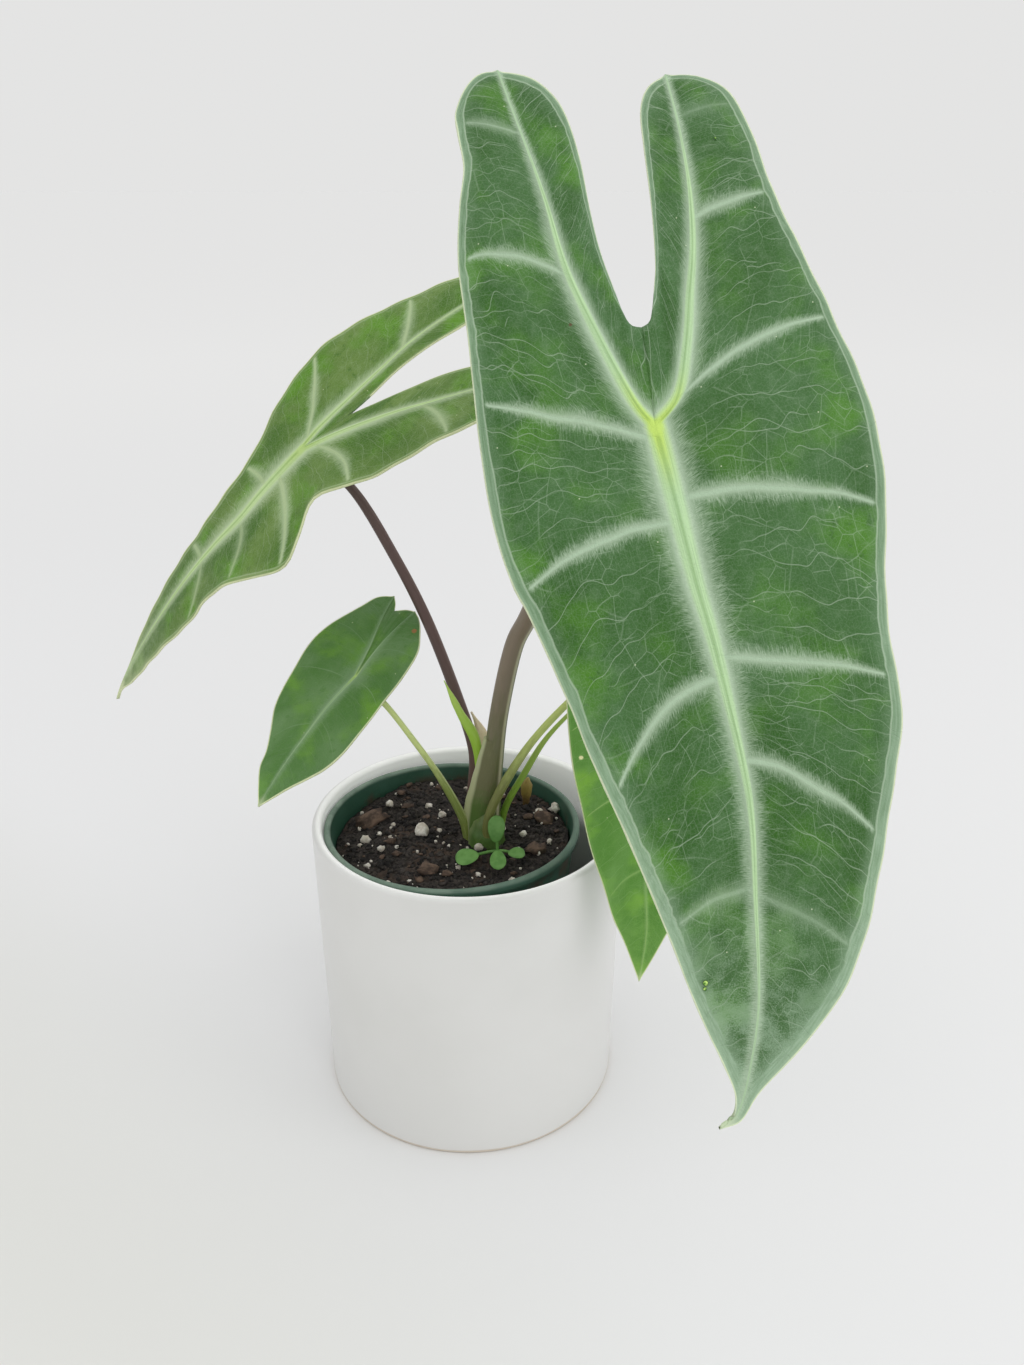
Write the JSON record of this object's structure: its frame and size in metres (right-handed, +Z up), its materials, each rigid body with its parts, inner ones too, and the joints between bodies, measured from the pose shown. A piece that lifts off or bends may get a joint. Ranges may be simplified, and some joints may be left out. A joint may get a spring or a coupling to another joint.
{
  "type": "potted dragon tooth alocasia",
  "caption": "Arrow-leaved tropical plant with long waved leaves on arching stalks, in a dark nursery pot inside a white glazed cylindrical outer pot.",
  "frame": {"origin": "middle of the outer pot's flat bottom, on the surface that it stands on", "axes": "+Z up out of the pot, -Y towards the side that the plant is seen from, +X to the right in that view"},
  "size_m": [0.2645, 0.2366, 0.3663],
  "materials": {
    "outer_glaze": "satin",
    "pot_plastic": "satin",
    "potting_mix": "matte",
    "corm_skin": "matte",
    "large_blade": "satin",
    "left_blade": "satin",
    "small_blade": "satin",
    "right_blade": "satin",
    "hidden_blade": "satin",
    "large_stalk": "satin",
    "dark_stalk": "satin",
    "pale_stalk": "satin",
    "olive_stalk": "satin",
    "green_stalk": "satin",
    "shoot": "satin",
    "dry_sheath": "matte",
    "old_sprout": "matte",
    "seedling": "satin"
  },
  "bodies": {
    "root": {"cachepot": "outer_glaze", "nursery_pot": "pot_plastic", "soil": "potting_mix", "corm": "corm_skin", "blade_1": "large_blade", "blade_2": "left_blade", "blade_3": "small_blade", "blade_4": "right_blade", "blade_5": "hidden_blade", "petiole_1": "large_stalk", "petiole_2": "dark_stalk", "petiole_3": "pale_stalk", "petiole_4": "olive_stalk", "petiole_5": "green_stalk", "cataphyll": "shoot", "dried_sheath": "dry_sheath", "old_sprout": "old_sprout", "seedling": "seedling"}
  },
  "joints": []
}
